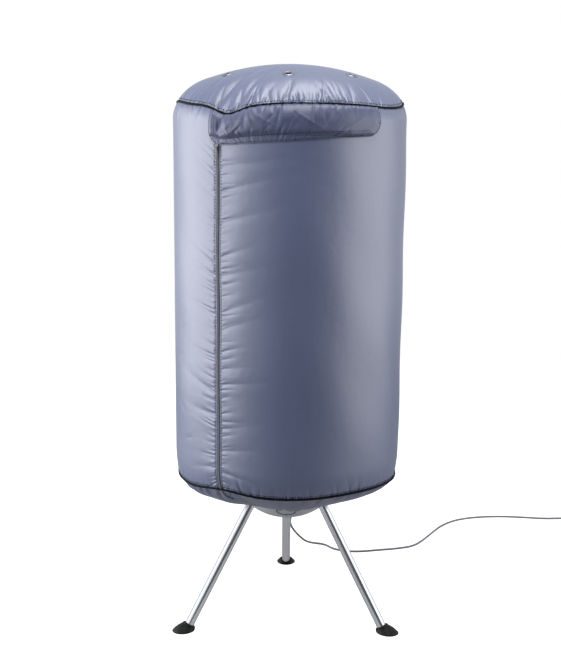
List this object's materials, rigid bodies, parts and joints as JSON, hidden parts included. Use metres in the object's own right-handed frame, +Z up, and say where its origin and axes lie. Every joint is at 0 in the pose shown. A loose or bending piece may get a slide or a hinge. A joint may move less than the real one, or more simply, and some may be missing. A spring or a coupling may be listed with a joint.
{
  "type": "heated clothes drying pod",
  "caption": "Upright fabric drum on a tripod, with a fan heater bowl below and folding hanging arms inside, for drying clothes on hangers in warm air.",
  "frame": {"origin": "on the drum's axis at floor level, midway between the three feet", "axes": "+Z up along the drum's axis, -Y towards the front with the sewn patch, +X to the right seen from the front"},
  "size_m": [1.3626, 1.0188, 1.475],
  "materials": {
    "cover_fabric": "coated polyester, satin sheen",
    "patch_fabric": "coated polyester, satin sheen",
    "piping": "woven binding over a cord",
    "hem": "elastic in a sewn casing",
    "eyelet_metal": "pressed and plated",
    "zip_tape": "woven tape",
    "zip_coil": "nylon coil",
    "zip_metal": "dark lacquer",
    "bowl_plastic": "moulded, fine texture",
    "dial_plastic": "moulded, smooth",
    "deck_plastic": "moulded, fine texture",
    "inner_plastic": "moulded",
    "steel": "zinc plated",
    "heat_board": "mica board",
    "heater_fins": "bare fins",
    "tube": "satin drawn tube",
    "foot_rubber": "moulded, matt",
    "arm_plastic": "moulded, fine texture",
    "lead": "extruded, satin",
    "plug_brass": "plated pins"
  },
  "bodies": {
    "stand": {"cover_crown": "cover_fabric", "cover_front_panel": "cover_fabric", "cover_back_panel": "cover_fabric", "cover_base": "cover_fabric", "front_patch": "patch_fabric", "top_piping": "piping", "bottom_piping": "piping", "hem_elastic": "hem", "eyelets": "eyelet_metal", "zip_tapes": "zip_tape", "zip_chain": "zip_coil", "bowl": "bowl_plastic", "inlet_grille": "bowl_plastic", "deck": "deck_plastic", "outlet_grille": "deck_plastic", "fan_duct": "deck_plastic", "terminal_block": "inner_plastic", "timer_body": "inner_plastic", "motor_bracket": "steel", "fan_motor": "steel", "deck_screws": "steel", "arm_pins": "steel", "thermal_cutout": "steel", "heater_frame": "heat_board", "heater_elements": "heater_fins", "leg_left": "tube", "leg_right": "tube", "leg_rear": "tube", "pole_lower": "tube", "pole_upper": "tube", "foot_left": "foot_rubber", "foot_right": "foot_rubber", "foot_rear": "foot_rubber", "arm_hub": "arm_plastic", "hub_cap": "arm_plastic", "pole_coupler": "arm_plastic", "power_cord": "lead", "cord_gland": "lead", "plug_body": "lead", "plug_pins": "plug_brass"},
    "fan": {"fan_shaft": "steel", "fan_impeller": "inner_plastic"},
    "dial": {"timer_dial": "dial_plastic", "timer_spindle": "steel"},
    "slider": {"zip_slider": "zip_metal"},
    "pull": {"zip_pull": "zip_metal"},
    "hanging_arm_1": {"arm_1": "arm_plastic"},
    "hanging_arm_2": {"arm_2": "arm_plastic"},
    "hanging_arm_3": {"arm_3": "arm_plastic"},
    "hanging_arm_4": {"arm_4": "arm_plastic"},
    "hanging_arm_5": {"arm_5": "arm_plastic"},
    "hanging_arm_6": {"arm_6": "arm_plastic"}
  },
  "joints": [
    {"name": "fan_spin", "type": "hinge", "parent": "stand", "child": "fan", "pos_m": [0, 0, 0.33904], "axis": [0, 0, 1], "continuous": true},
    {"name": "timer_turn", "type": "hinge", "parent": "stand", "child": "dial", "pos_m": [0, -0.11851, 0.32102], "axis": [0, 0.7361, 0.6769], "range_deg": [0, 300]},
    {"name": "zip_slide", "type": "slide", "parent": "stand", "child": "slider", "axis": [0, 0, -1], "range_m": [0, 0.781]},
    {"name": "pull_swing", "type": "hinge", "parent": "slider", "child": "pull", "pos_m": [-0.17391, -0.25209, 1.269], "axis": [-0.8231, 0.5678, 0], "range_deg": [0, 120]},
    {"name": "arm_1_fold", "type": "hinge", "parent": "stand", "child": "hanging_arm_1", "pos_m": [0.018, -0.03118, 1.345], "axis": [0.866, 0.5, 0], "range_deg": [0, 88]},
    {"name": "arm_2_fold", "type": "hinge", "parent": "stand", "child": "hanging_arm_2", "pos_m": [0.036, 0, 1.345], "axis": [0, 1, 0], "range_deg": [0, 88]},
    {"name": "arm_3_fold", "type": "hinge", "parent": "stand", "child": "hanging_arm_3", "pos_m": [0.018, 0.03118, 1.345], "axis": [-0.866, 0.5, 0], "range_deg": [0, 88]},
    {"name": "arm_4_fold", "type": "hinge", "parent": "stand", "child": "hanging_arm_4", "pos_m": [-0.018, 0.03118, 1.345], "axis": [-0.866, -0.5, 0], "range_deg": [0, 88]},
    {"name": "arm_5_fold", "type": "hinge", "parent": "stand", "child": "hanging_arm_5", "pos_m": [-0.036, 0, 1.345], "axis": [0, -1, 0], "range_deg": [0, 88]},
    {"name": "arm_6_fold", "type": "hinge", "parent": "stand", "child": "hanging_arm_6", "pos_m": [-0.018, -0.03118, 1.345], "axis": [0.866, -0.5, 0], "range_deg": [0, 88]}
  ]
}
